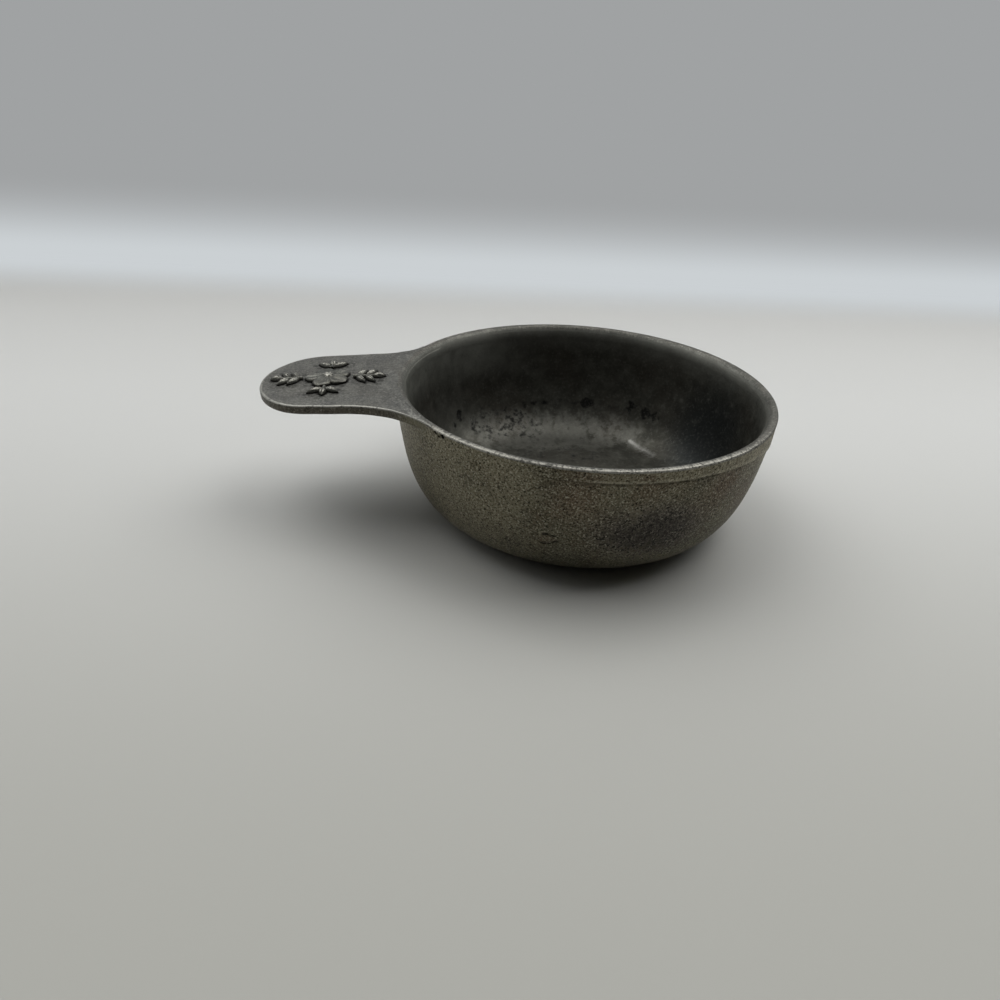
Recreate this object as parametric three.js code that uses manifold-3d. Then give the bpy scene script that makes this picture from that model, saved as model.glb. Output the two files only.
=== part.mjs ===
// Baby bowl: a small cast pewter porringer with one flat tab handle and a floral ornament on it.
// Millimetres, +Z up. The origin is the centre of the flat base, and the handle runs along -X.
import * as THREE from 'three';
import { mergeVertices } from 'three/addons/utils/BufferGeometryUtils.js';
import Module from 'manifold-3d';

const wasm = await Module();
wasm.setup();

// Bowl
const rimRadius = 54; // outside of the mouth, rim band included
const bowlHeight = 37.8;
const baseRadius = 33; // flat disc that stands on the table
const wallThickness = 2.6;
const floorThickness = 2.6;
const baseSweep = 16.4; // pull of the wall's curve outwards from the base
const shoulderSweep = 16; // pull of the wall's curve down from the band
const shoulderLean = 1.3; // how far that pull leans inwards
const heelRise = 2.5; // the inside turns onto the floor that much higher than the outside

// Rim
const landWidth = 3.2; // flat top of the mouth, made by the band, which folds over the lip
const landThickness = 1.5;
const bandHeight = 4;
const bandThickness = 1.3;
const bandProud = 0.3; // step between the wall and the band's lower edge
const bandFlare = 0.25; // the band is that much wider at the top
const edgeRound = 0.6; // worn round on the rim's edges

// Handle
const handleReach = 37.6; // from the rim to the tip
const handleTipWidth = 38.2;
const handleRootWidth = 39.3;
const handleTipRound = 16.2; // length of the half ellipse that ends the tab
const handleThickness = 2.5;
const handleEdge = 0.4; // worn chamfer round the tab
const handleDroop = 4.2; // degrees
const handleStep = 0.05; // the tab's face lies that much below the rim
const rootRoundRight = 33; // radius of the tab's flare into the rim, on its -Y edge
const rootRoundLeft = 13; // and on its +Y edge
const solderLeg = 2.2; // solder fillet under the tab, along the tab and down the band
const solderRun = 30; // its length round the rim

// Ornament
const rosetteRadius = 6.6;
const rosetteHeight = 1.2;
const petalCount = 5;
const petalWidth = 5.6;
const bossRadius = 2;
const bossHeight = 1.6;
const stemWidth = 1.2;
const stemHeight = 0.7;
const leafLength = 5.2;
const leafHeight = 1;
const leafSplay = 56; // degrees away from the stem
const leafRoot = 0.9; // from the stem's cut end to the first leaf pair
const leafGap = 0.3; // between neighbouring leaves
const budLength = 3;
const budWidth = 2.2;
const budHeight = 1.1;
const budSink = 0.8; // how far the bud's root lies over the stem
const longPairs = 2; // leaf pairs on the sprays along the tab
const shortPairs = 1; // leaf pairs on the sprays across the tab
const tipMargin = 2.6; // bare tab beyond the long sprays
const sideMargin = 6.5; // bare tab beyond the short sprays

// Clearances
const solderGap = 0.3; // solder film between castings
const sprayGap = 0.5; // between the rosette and each spray

// Facets
const roundSides = 72;
const curveSteps = 12;
const edgeSteps = 3;
const spindleSteps = 6;
const reliefSides = 12;

const bandFoot = bowlHeight - bandHeight;
const bandFootRadius = rimRadius - bandFlare;
const shoulderRadius = bandFootRadius - bandProud;
const lipRadius = rimRadius - bandThickness - solderGap;
const lipTop = bowlHeight - landThickness - solderGap;
const mouthRadius = rimRadius - landWidth;
const droop = THREE.MathUtils.degToRad(handleDroop);
const ornamentCentre = rimRadius + handleReach / 2;
const sprayStart = rosetteRadius + sprayGap;
const longStem = handleReach / 2 - tipMargin - sprayStart - budLength;
const shortStem = handleTipWidth / 2 - sideMargin - sprayStart - budLength;
const leafPitch = (longStem - leafRoot) / longPairs;
const leafWidth = leafPitch * Math.sin(THREE.MathUtils.degToRad(leafSplay)) - leafGap;

function finish(name, color, roughness, geometry) {
  geometry.computeVertexNormals();
  const material = new THREE.MeshStandardMaterial({ color, roughness, metalness: 0.9 });
  const mesh = new THREE.Mesh(geometry, material);
  mesh.name = name;
  return mesh;
}

function solid(geometry) {
  const bare = geometry.index ? geometry.toNonIndexed() : geometry.clone();
  bare.deleteAttribute('normal');
  bare.deleteAttribute('uv');
  const merged = mergeVertices(bare, 1e-4);
  const mesh = new wasm.Mesh({
    numProp: 3,
    vertProperties: merged.attributes.position.array,
    triVerts: new Uint32Array(merged.index.array),
  });
  return new wasm.Manifold(mesh);
}

function geometryOf(body) {
  const mesh = body.getMesh();
  const geometry = new THREE.BufferGeometry();
  geometry.setAttribute('position', new THREE.BufferAttribute(mesh.vertProperties, 3));
  geometry.setIndex(new THREE.BufferAttribute(mesh.triVerts, 1));
  return geometry;
}

function turned(profile) {
  const lathe = new THREE.LatheGeometry(profile, roundSides);
  return lathe.rotateX(Math.PI / 2);
}

// Quarter-round between two square directions, from one angle to the other, in degrees
function roundEdge(centre, radius, from, to) {
  const points = [];
  for (let i = 0; i <= edgeSteps; i += 1) {
    const angle = THREE.MathUtils.degToRad(from + ((to - from) * i) / edgeSteps);
    points.push(new THREE.Vector2(
      centre.x + radius * Math.cos(angle),
      centre.y + radius * Math.sin(angle),
    ));
  }
  return points;
}

// The wall's outside, from the base's edge up to the foot of the band
function wallCurve() {
  return new THREE.CubicBezierCurve(
    new THREE.Vector2(baseRadius, 0),
    new THREE.Vector2(baseRadius + baseSweep, 0),
    new THREE.Vector2(shoulderRadius - shoulderLean, bandFoot - shoulderSweep),
    new THREE.Vector2(shoulderRadius, bandFoot),
  );
}

// The wall's inside follows the outside, one wall thickness in, and closes onto the floor
function innerCurve() {
  return new THREE.CubicBezierCurve(
    new THREE.Vector2(baseRadius, floorThickness),
    new THREE.Vector2(baseRadius + baseSweep - wallThickness / 2, floorThickness),
    new THREE.Vector2(shoulderRadius - shoulderLean - wallThickness, bandFoot - shoulderSweep + heelRise),
    new THREE.Vector2(mouthRadius, lipTop),
  );
}

// Body of the bowl, with a thinner lip that the rim band caps
function bowl() {
  const profile = [
    new THREE.Vector2(0, 0),
    ...wallCurve().getPoints(curveSteps),
    new THREE.Vector2(lipRadius, bandFoot),
    new THREE.Vector2(lipRadius, lipTop),
    ...innerCurve().getPoints(curveSteps).reverse(),
    new THREE.Vector2(0, floorThickness),
  ];
  return finish('bowl', 0x4f4c44, 0.6, turned(profile));
}

// Angle ring over the lip: its skirt is the band outside, and its flange is the land on top
function rimBand() {
  const foot = bandFoot + solderGap;
  const inner = lipRadius + solderGap;
  const capFoot = lipTop + solderGap;
  const edgeLevel = bowlHeight - edgeRound;
  const profile = [
    new THREE.Vector2(inner, foot),
    new THREE.Vector2(bandFootRadius, foot),
    ...roundEdge(new THREE.Vector2(rimRadius - edgeRound, edgeLevel), edgeRound, 0, 90),
    ...roundEdge(new THREE.Vector2(mouthRadius + edgeRound, edgeLevel), edgeRound, 90, 180),
    new THREE.Vector2(mouthRadius, capFoot),
    new THREE.Vector2(inner, capFoot),
    new THREE.Vector2(inner, foot),
  ];
  return finish('rim_band', 0x6a685f, 0.45, turned(profile));
}

// Round that touches the rim and one edge of the tab, no longer than the tab's straight stretch
function rootFlare(wanted, straightEnd) {
  const rootHalf = handleRootWidth / 2;
  const longest = (straightEnd ** 2 - rimRadius ** 2 + rootHalf ** 2) / (2 * (rimRadius - rootHalf));
  const radius = Math.min(wanted, longest);
  const across = rootHalf + radius;
  const along = Math.sqrt((rimRadius + radius) ** 2 - across ** 2);
  const rimAngle = Math.atan2(across, along);
  return { radius, across, along, rimAngle };
}

// Point at an angle round the bowl's axis, in the tab's plan
function around(radius, angle) {
  return new THREE.Vector2(radius * Math.cos(angle), radius * Math.sin(angle));
}

// Plan of the tab in its own plane: x runs from the bowl's axis to the tip, y towards its -Y edge
function handleOutline() {
  const capStart = rimRadius + handleReach - handleTipRound;
  const tipHalf = handleTipWidth / 2;
  const right = rootFlare(rootRoundRight, capStart);
  const left = rootFlare(rootRoundLeft, capStart);
  const insideLeft = around(lipRadius, -left.rimAngle);
  const rimLeft = around(rimRadius, -left.rimAngle);
  const insideRight = around(lipRadius, right.rimAngle);
  const shape = new THREE.Shape();
  shape.moveTo(insideLeft.x, insideLeft.y);
  shape.lineTo(rimLeft.x, rimLeft.y);
  shape.absarc(left.along, -left.across, left.radius, Math.PI - left.rimAngle, Math.PI / 2, true);
  shape.lineTo(capStart, -tipHalf);
  shape.absellipse(capStart, 0, handleTipRound, tipHalf, -Math.PI / 2, Math.PI / 2, false, 0);
  shape.lineTo(right.along, handleRootWidth / 2);
  shape.absarc(right.along, right.across, right.radius, -Math.PI / 2, Math.PI + right.rimAngle, true);
  shape.lineTo(insideRight.x, insideRight.y);
  shape.closePath();
  return shape;
}

// Frame of the tab: its face is z = 0, x runs outwards from the bowl's axis, and it droops
function handleFrame() {
  const frame = new THREE.Group();
  const hinge = new THREE.Matrix4().makeTranslation(-rimRadius, 0, bowlHeight - handleStep);
  const drop = new THREE.Matrix4().makeRotationY(-droop);
  const outwards = new THREE.Matrix4().makeRotationZ(Math.PI);
  const back = new THREE.Matrix4().makeTranslation(-rimRadius, 0, 0);
  const matrix = hinge.multiply(drop).multiply(outwards).multiply(back);
  matrix.decompose(frame.position, frame.quaternion, frame.scale);
  frame.updateMatrixWorld(true);
  return frame;
}

function slab(shape, thickness, chamfer, topAt) {
  const geometry = new THREE.ExtrudeGeometry(shape, {
    depth: thickness - 2 * chamfer,
    curveSegments: curveSteps,
    bevelEnabled: chamfer > 0,
    bevelThickness: chamfer,
    bevelSize: chamfer,
    bevelOffset: -chamfer,
    bevelSegments: 1,
  });
  return geometry.translate(0, 0, topAt - thickness + chamfer);
}

// Turned body of the bowl's outside, grown by the solder film, that cuts the tab's seat
function seatCutter(frame) {
  const reach = rimRadius + solderGap;
  const profile = [
    new THREE.Vector2(0, 0),
    new THREE.Vector2(reach, 0),
    new THREE.Vector2(reach, 2 * bowlHeight),
    new THREE.Vector2(0, 2 * bowlHeight),
  ];
  return turned(profile).applyMatrix4(frame.matrixWorld.clone().invert());
}

// Block that cuts the tab's flares level with the rim, where the droop would lift them over it
function levelCutter(frame) {
  const block = new THREE.BoxGeometry(4 * rimRadius, 4 * rimRadius, bowlHeight);
  block.translate(0, 0, bowlHeight - handleStep + bowlHeight / 2);
  return block.applyMatrix4(frame.matrixWorld.clone().invert());
}

function handle(frame) {
  const tab = solid(slab(handleOutline(), handleThickness, handleEdge, 0));
  const seated = tab.subtract(solid(seatCutter(frame))).subtract(solid(levelCutter(frame)));
  return finish('handle', 0x6b6a66, 0.5, geometryOf(seated));
}

// Solder drawn into the corner under the tab: a ring with a hollow face, trimmed to its run
function handleSolderFillet(frame) {
  const inner = rimRadius + solderGap;
  const underside = bowlHeight - handleStep - handleThickness;
  const hollow = new THREE.Vector2(inner + solderLeg, underside - solderLeg);
  const face = roundEdge(hollow, solderLeg, 90, 180).slice(0, -1);
  const profile = [
    new THREE.Vector2(inner, underside - solderLeg),
    ...face,
    new THREE.Vector2(inner + solderLeg, underside + solderLeg),
    new THREE.Vector2(inner, underside + solderLeg),
    new THREE.Vector2(inner, underside - solderLeg),
  ];
  const trim = new THREE.BoxGeometry(rimRadius, solderRun, bowlHeight);
  trim.translate(-rimRadius, 0, underside);
  const tab = slab(handleOutline(), handleThickness + 2 * solderLeg, 0, 2 * solderLeg - solderGap);
  const room = solid(tab.applyMatrix4(frame.matrixWorld));
  const bead = solid(turned(profile)).intersect(solid(trim)).subtract(room);
  return finish('handle_solder_fillet', 0x5f5e5a, 0.6, geometryOf(bead));
}

// Pointed dome, such as a leaf or a bud, along x from its root at the origin
function spindle(length, width, height) {
  const points = [];
  for (let i = 0; i <= spindleSteps; i += 1) {
    const along = i / spindleSteps;
    const swell = i % spindleSteps === 0 ? 0 : 4 * along * (1 - along);
    points.push(new THREE.Vector2((swell * width) / 2, along * length));
  }
  const geometry = new THREE.LatheGeometry(points, reliefSides);
  return solid(geometry.rotateZ(-Math.PI / 2).scale(1, 1, (2 * height) / width));
}

function dome(alongRadius, acrossRadius, height) {
  const geometry = new THREE.SphereGeometry(1, reliefSides, reliefSides / 2);
  return solid(geometry.rotateX(Math.PI / 2).scale(alongRadius, acrossRadius, height));
}

function placed(body, x, y, degrees) {
  const turn = new THREE.Matrix4().makeRotationZ(THREE.MathUtils.degToRad(degrees));
  const move = new THREE.Matrix4().makeTranslation(x, y, 0);
  return body.transform(move.multiply(turn).elements);
}

// Keeps what stands above the tab's face and sets it on the solder film
function seatedOrnament(name, body, x, y, degrees) {
  const above = new THREE.BoxGeometry(2 * handleReach, 2 * handleReach, bowlHeight);
  above.translate(0, 0, bowlHeight / 2);
  const geometry = geometryOf(body.intersect(solid(above)));
  const mesh = finish(name, 0x73726e, 0.45, geometry);
  mesh.position.set(x, y, solderGap);
  mesh.rotation.z = THREE.MathUtils.degToRad(degrees);
  return mesh;
}

function rosette() {
  let flower = dome(bossRadius, bossRadius, bossHeight);
  const petal = dome(rosetteRadius / 2, petalWidth / 2, rosetteHeight);
  for (let i = 0; i < petalCount; i += 1) {
    const angle = (360 * i) / petalCount;
    const turn = THREE.MathUtils.degToRad(angle);
    const reach = rosetteRadius / 2;
    flower = flower.add(placed(petal, reach * Math.cos(turn), reach * Math.sin(turn), angle));
  }
  return seatedOrnament('ornament_rosette', flower, ornamentCentre, 0, 0);
}

// Spray of leaves on a stem that points away from the rosette and ends in a bud
function spray(name, stemLength, pairs, degrees) {
  const leafStep = (stemLength - leafRoot) / pairs;
  const stem = new THREE.CylinderGeometry(stemWidth / 2, stemWidth / 2, stemLength, reliefSides);
  stem.rotateZ(Math.PI / 2).translate(stemLength / 2, 0, 0).scale(1, 1, (2 * stemHeight) / stemWidth);
  const bud = spindle(budLength + budSink, budWidth, budHeight);
  const leaf = spindle(leafLength, leafWidth, leafHeight);
  let body = solid(stem).add(placed(bud, stemLength - budSink, 0, 0));
  for (let i = 0; i < pairs; i += 1) {
    const root = leafRoot + leafStep * i;
    body = body.add(placed(leaf, root, 0, leafSplay)).add(placed(leaf, root, 0, -leafSplay));
  }
  const turn = THREE.MathUtils.degToRad(degrees);
  const x = ornamentCentre + sprayStart * Math.cos(turn);
  return seatedOrnament(name, body, x, sprayStart * Math.sin(turn), degrees);
}

function ornaments() {
  return [
    rosette(),
    spray('ornament_tip_spray', longStem, longPairs, 0),
    spray('ornament_root_spray', longStem, longPairs, 180),
    spray('ornament_side_spray_left', shortStem, shortPairs, 90),
    spray('ornament_side_spray_right', shortStem, shortPairs, -90),
  ];
}

const frame = handleFrame();
frame.add(handle(frame), ...ornaments());
const part = new THREE.Group();
part.name = 'baby_bowl';
part.add(bowl(), rimBand(), handleSolderFillet(frame), frame);
export default part;
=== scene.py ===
# Baby bowl: a cast pewter porringer with one tab handle. Sizes are in millimetres until a piece is done.
import math

import bmesh
import bpy
from mathutils import Matrix, Vector, noise
from mathutils.geometry import interpolate_bezier
from mathutils.kdtree import KDTree


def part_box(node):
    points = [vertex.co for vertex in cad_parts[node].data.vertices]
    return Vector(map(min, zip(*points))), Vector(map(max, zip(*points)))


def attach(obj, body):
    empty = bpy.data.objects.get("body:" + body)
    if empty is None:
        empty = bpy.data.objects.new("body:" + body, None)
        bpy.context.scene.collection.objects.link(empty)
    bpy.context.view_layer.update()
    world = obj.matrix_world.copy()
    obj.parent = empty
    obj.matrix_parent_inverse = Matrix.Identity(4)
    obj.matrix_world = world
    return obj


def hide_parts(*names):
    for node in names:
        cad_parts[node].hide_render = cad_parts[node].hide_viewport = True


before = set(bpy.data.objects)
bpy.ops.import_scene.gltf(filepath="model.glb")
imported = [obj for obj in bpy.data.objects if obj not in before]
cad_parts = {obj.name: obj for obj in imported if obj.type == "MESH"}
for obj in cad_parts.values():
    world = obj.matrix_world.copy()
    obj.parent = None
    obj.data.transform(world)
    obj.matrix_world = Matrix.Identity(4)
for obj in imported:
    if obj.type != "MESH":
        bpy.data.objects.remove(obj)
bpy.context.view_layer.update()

mm = 0.001
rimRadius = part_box("rim_band")[1].x / mm
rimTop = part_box("rim_band")[1].z / mm


def smooth(low, high, value):
    t = min(max((value - low) / (high - low), 0.0), 1.0)
    return t * t * (3 - 2 * t)


def bell(offset, spread):
    return math.exp(-((offset / spread) ** 2))


# Noise between -1 and 1 with a grain of so many millimetres
def unevenness(point, grain, seed=0.0):
    return noise.noise(point / grain + Vector((seed, -seed, 2 * seed)))


# Sum of noises, each with its depth, its grain and its seed
def layered(point, layers):
    return sum(depth * unevenness(point, grain, seed) for depth, grain, seed in layers)


def azimuthOf(point):
    return math.degrees(math.atan2(point.y, point.x))


# Angle between two azimuths, from -180 to 180
def turnBetween(azimuth, centre):
    return (azimuth - centre + 180) % 360 - 180


# Point of a turned wall at an azimuth, a radius and a height
def onWall(azimuth, radius, height):
    a = math.radians(azimuth)
    return Vector((radius * math.cos(a), radius * math.sin(a), height))


def linear(hexColour):
    channels = [int(hexColour[i:i + 2], 16) / 255 for i in (1, 3, 5)]
    return [c / 12.92 if c <= 0.04045 else ((c + 0.055) / 1.055) ** 2.4 for c in channels] + [1.0]


# Adds a node with its settings; an input is a value or another node's output
def addNode(tree, kind, settings, inputs):
    node = tree.nodes.new("ShaderNode" + kind)
    for name, value in settings.items():
        setattr(node, name, value)
    for socket, value in inputs.items():
        if isinstance(value, bpy.types.NodeSocket):
            tree.links.new(value, node.inputs[socket])
        else:
            node.inputs[socket].default_value = value
    return node


def compute(tree, operation, *values):
    return addNode(tree, "Math", {"operation": operation}, dict(enumerate(values))).outputs[0]


def emptyMaterial(name):
    material = bpy.data.materials.new(name)
    material.use_nodes = True
    material.node_tree.nodes.clear()
    return material


def placeObject(name, data):
    made = bpy.data.objects.new(name, data)
    bpy.context.scene.collection.objects.link(made)
    return made


# What every pewter surface shares
pewterShared = dict(
    # detail and roughness of each noise
    noises=dict(
        patina=(4, 0.6), tint=(3, 0.5), grain=(4, 0.65), coarse=(3, 0.6), marks=(2, 0.7),
    ),
    # where each pattern starts to show and where it is full, on its noise or its mark
    fades=dict(
        patina=(0.34, 0.66), tint=(0.42, 0.68), bloomAndSheen=(0.25, 0.95), stain=(0.28, 0.76),
        hollows=(0.32, 0.5), tips=(0.52, 0.7), pits=(0.36, 0.43), streaks=(0.36, 0.56),
        wearAndHighlight=(0.2, 0.9), dirtAndShade=(0.2, 0.8), roughness=(0.3, 0.7),
    ),
    # how far noises shift a mark's edge in and out, which makes it ragged
    edges=dict(
        bloomAndSheen=dict(patina=2.5, coarse=1.8),
        stain=dict(coarse=4.5, patina=2.0, grain=1.5),
        speckle=dict(grain=1.0, coarse=1.0),
    ),
    coarseness=2.4,  # size of the coarse noise against the grain
    pittedDeeper=0.07, dirtAndShadeRoughness=0.25,
    grainHeight=0.6, coarseHeight=0.8, marksHeight=0.8,
)


# Pewter: a tin alloy, dull grey with a dark oxide. The look says how a surface was made and used.
def pewter(name, look):
    shared = pewterShared
    material = emptyMaterial(name)
    tree = material.node_tree
    place = addNode(tree, "TexCoord", {}, {}).outputs["Object"]

    def cloud(kind, scale, where):
        detail, roughness = shared["noises"][kind]
        return addNode(tree, "TexNoise", {}, {
            "Vector": where, "Scale": scale, "Detail": detail, "Roughness": roughness,
        }).outputs["Fac"]

    def spread(fade, value, start=0.0, end=1.0):
        low, high = shared["fades"][fade]
        return addNode(tree, "MapRange", {"interpolation_type": "SMOOTHSTEP"}, {
            "Value": value, "From Min": low, "From Max": high, "To Min": start, "To Max": end,
        }).outputs["Result"]

    # the colour so far, with a share of another shade over it
    def over(colour, share, shade):
        return addNode(tree, "Mix", {"data_type": "RGBA"}, {
            0: share, 6: colour, 7: linear(shade),
        }).outputs[2]

    def marked(attribute):
        return addNode(tree, "Attribute", {"attribute_name": attribute}, {}).outputs["Fac"]

    sizes = {
        "patina": look["patinaGrain"], "tint": look["tintGrain"],
        "grain": look["grain"], "coarse": look["grain"] * shared["coarseness"],
    }
    noises = {kind: cloud(kind, 1 / (size * mm), place) for kind, size in sizes.items()}

    # sum of noises as an offset to both sides of zero
    def edgeNoise(kind):
        reaches = shared["edges"][kind]
        total = -sum(reaches.values()) / 2
        for noiseKind, reach in reaches.items():
            total = compute(tree, "MULTIPLY_ADD", noises[noiseKind], reach, total)
        return total

    colour = over(linear(look["dark"]), spread("patina", noises["patina"]), look["light"])
    colour = over(colour, spread("tint", noises["tint"], 0.0, look["tintShare"]), look["tint"])
    for zone, shade in look.get("zones", {}).items():
        colour = over(colour, marked(zone), shade)

    # bloom and stain are marks of use; the bloom is partly a painted sheen
    if "bloomAndSheen" in look:
        bloomAndSheen = compute(tree, "ADD", marked("bloomAndSheen"), edgeNoise("bloomAndSheen"))
        colour = over(colour, spread("bloomAndSheen", bloomAndSheen, 0.0, look["bloomAndSheenShare"]), look["bloomAndSheen"])
    if "stainShare" in look:
        ragged = compute(tree, "ADD", edgeNoise("stain"), 1.0)
        stain = compute(tree, "MULTIPLY", marked("stain"), ragged)
        colour = over(colour, spread("stain", stain, 0.0, look["stainShare"]), look["dirtAndShade"])

    # grain: dark in its hollows and in coarser pits, bright where its tips are rubbed
    both = compute(tree, "ADD", noises["grain"], noises["coarse"])
    uneven = compute(tree, "MULTIPLY", both, 0.5)
    deeper = compute(tree, "MULTIPLY_ADD", marked("pitted"), -shared["pittedDeeper"], uneven)
    colour = over(colour, spread("hollows", noises["grain"], look["speckShare"], 0.0), look["dirtAndShade"])
    colour = over(colour, spread("tips", noises["grain"], 0.0, look["speckShare"]), look["worn"])
    colour = over(colour, spread("pits", deeper, look["pitShare"], 0.0), look["dirtAndShade"])

    # wear and dirt come from the mesh: edges are rubbed bright, some with a painted highlight, and corners
    # hold black oxide, some with painted shade
    speckle = edgeNoise("speckle")
    ragged = compute(tree, "MULTIPLY_ADD", speckle, look["ragged"], 1.0)
    wearAndHighlight = spread("wearAndHighlight", compute(tree, "MULTIPLY", marked("wearAndHighlight"), ragged), 0.0, look["wornShare"])
    colour = over(colour, wearAndHighlight, look["worn"])
    dirtAndShade = spread("dirtAndShade", compute(tree, "ADD", marked("dirtAndShade"), speckle))
    colour = over(colour, dirtAndShade, look["dirtAndShade"])

    roughness = spread("roughness", noises["coarse"], look["smoothest"], look["roughest"])
    roughness = compute(tree, "MULTIPLY_ADD", wearAndHighlight, -look["rubbed"], roughness)
    roughness = compute(tree, "MULTIPLY_ADD", dirtAndShade, shared["dirtAndShadeRoughness"], roughness)

    height = compute(tree, "MULTIPLY", noises["grain"], shared["grainHeight"])
    height = compute(tree, "MULTIPLY_ADD", noises["coarse"], shared["coarseHeight"], height)
    if "turningMarks" in look:
        # fine marks across the rim, which run towards the bowl's axis
        flat = addNode(tree, "VectorMath", {"operation": "MULTIPLY"}, {0: place, 1: (1, 1, 0)})
        around = addNode(tree, "VectorMath", {"operation": "NORMALIZE"}, {0: flat.outputs[0]})
        marks = cloud("marks", rimRadius / look["turningMarks"], around.outputs[0])
        height = compute(tree, "MULTIPLY_ADD", marks, shared["marksHeight"], height)
        colour = over(colour, spread("streaks", marks, look["streakShare"], 0.0), look["dirtAndShade"])
    bump = addNode(tree, "Bump", {}, {
        "Height": height, "Distance": look["grainDepth"] * mm, "Strength": 1.0,
    }).outputs["Normal"]
    shader = addNode(tree, "BsdfPrincipled", {}, {
        "Base Color": colour, "Metallic": look["metallic"], "Roughness": roughness, "Normal": bump,
    })
    addNode(tree, "OutputMaterial", {}, {"Surface": shader.outputs[0]})
    return material


sharpAngle = 50  # degrees between two faces past which their edge stays sharp


# Turns a mesh in millimetres into the finished piece: metres, smooth shading, rides on its body
def finishPiece(name, bm, materials, slot, *nodes):
    bmesh.ops.scale(bm, vec=(mm, mm, mm), verts=bm.verts)
    mesh = bpy.data.meshes.new(name)
    bm.to_mesh(mesh)
    bm.free()
    mesh.shade_smooth()
    mesh.set_sharp_from_angle(angle=math.radians(sharpAngle))
    for material in materials:
        mesh.materials.append(material)
    piece = placeObject(name, mesh)
    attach(piece, "root")
    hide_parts(*nodes)
    mesh.calc_loop_triangles()
    print("made", name, "with", len(mesh.loop_triangles), "triangles")
    return piece


def vertsOf(geometry):
    return [g for g in geometry if isinstance(g, bmesh.types.BMVert)]


def edgesOf(geometry):
    return [g for g in geometry if isinstance(g, bmesh.types.BMEdge)]


mergeDistance = 0.001
rootOverlap = 0.1  # how far inside the rim's edge the tab and its solder start


# Closed ring or cup from a profile in the plane y = 0
def spun(points, segments, closed):
    bm = bmesh.new()
    verts = [bm.verts.new(p) for p in points]
    edges = [bm.edges.new(pair) for pair in zip(verts, verts[1:])]
    if closed:
        edges.append(bm.edges.new((verts[-1], verts[0])))
    bmesh.ops.spin(
        bm, geom=verts + edges, axis=(0, 0, 1), cent=(0, 0, 0),
        angle=math.tau, steps=segments, use_merge=True,
    )
    bmesh.ops.remove_doubles(bm, verts=bm.verts, dist=mergeDistance)
    bmesh.ops.recalc_face_normals(bm, faces=bm.faces)
    bm.normal_update()
    return bm


# Adds shares of marks to a mesh's points, by name
def floatLayers(bm, *names):
    return {name: bm.verts.layers.float.new(name) for name in names}


# Smaller faces round a mark that the plain grid is too coarse for
def refineNear(bm, spot, reach, cuts):
    near = {e for f in bm.faces if (f.calc_center_median() - spot).length < reach for e in f.edges}
    bmesh.ops.subdivide_edges(bm, edges=list(near), cuts=cuts, use_grid_fill=True)
    bm.normal_update()


def curve(start, startPull, endPull, end, steps):
    knots = [Vector((r, 0, z)) for r, z in (start, startPull, endPull, end)]
    return interpolate_bezier(*knots, steps + 1)


def straight(start, end, steps):
    a, b = Vector((start[0], 0, start[1])), Vector((end[0], 0, end[1]))
    return [a.lerp(b, i / steps) for i in range(steps + 1)]


# Round corner of a profile, from one direction to the other, in degrees
def corner(centre, radius, startAngle, endAngle, steps):
    angles = [math.radians(startAngle + (endAngle - startAngle) * i / steps) for i in range(steps + 1)]
    return [Vector((centre[0] + radius * math.cos(a), 0, centre[1] + radius * math.sin(a))) for a in angles]


# Chains stretches of a profile, and drops the points that two stretches share
def chained(*stretches):
    points = []
    for stretch in stretches:
        points += [p for p in stretch if not points or (p - points[-1]).length > 0.01]
    return points


# As-cast outside: olive-grey oxide over a sandy grain, dark in its pits and glinting at its tips
outsideLook = dict(
    dark="#605c4d", light="#757160", tint="#625846", tintShare=0.45, worn="#b3af9e",
    dirtAndShade="#14130e", bloomAndSheen="#847e6b", bloomAndSheenShare=0.9, speckShare=1.0, pitShare=0.9,
    wornShare=0.4, ragged=2.0,
    patinaGrain=16.0, tintGrain=7.0, grain=0.48, grainDepth=0.1,
    smoothest=0.5, roughest=0.66, rubbed=0.1, metallic=0.85,
    zones=dict(warm="#684f41", pitted="#5e5853"),
)

# Inside: scoured smooth, with dark stains, a pale bloom on the floor that is partly from use and partly a
# painted reflection, painted light high on the wall and painted shade on its right
insideLook = dict(
    dark="#3d3c36", light="#504f48", tint="#403c35", tintShare=0.5, worn="#9d9c96",
    dirtAndShade="#161614", bloomAndSheen="#72716a", bloomAndSheenShare=0.48, speckShare=0.12, pitShare=0.0,
    stainShare=0.92, wornShare=0.8, ragged=1.2,
    patinaGrain=4.5, tintGrain=16.0, grain=0.9, grainDepth=0.02,
    smoothest=0.52, roughest=0.62, rubbed=0.12, metallic=0.9,
    zones=dict(paintedLight="#82827a", paintedShade="#2e302f"),
)

bowlShape = dict(
    baseRadius=33.0, floor=2.6, shoulderRadius=53.45, shoulder=33.8, bandCover=1.0,
    lipRadius=52.4, lip=36.25, lipStep=0.3,
    # radius and height of the two points that pull each curve
    wallPulls=((49.4, 0.0), (52.15, 17.8)), insidePulls=((49.5, 18.5), (48.1, 2.6)),
    # the base is turned hollow inside a narrow ring that it stands on
    recess=0.35, footRing=3.0, recessEdge=1.0, recessPull=0.4,
    segments=400, wallRings=76, insideRings=62, floorRings=16,
    # the wall swells level with the band between these azimuths, round the left and the back
    swell=0.27, swellFrom=-98.0, swellTo=-112.0, swellEnd=130.0, swellFade=20.0,
    swellLow=22.0,
    # the unevenness dies away above the foot, below the shoulder and below the lip
    calmFoot=(0.0, 3.0), calmShoulder=(0.2, -4.0), calmLip=(0.0, -5.0),
    # depth, grain and seed of each noise
    outsideLumps=((0.11, 21.0, 1.0), (0.04, 6.0, 2.0), (0.03, 2.0, 3.0)),
    insideLumps=((0.07, 17.0, 5.0), (0.03, 5.0, 6.0)),
    middle=Vector((0, 0, 30)),  # a point in its mouth, from which the outside is told from the inside
)

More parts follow.
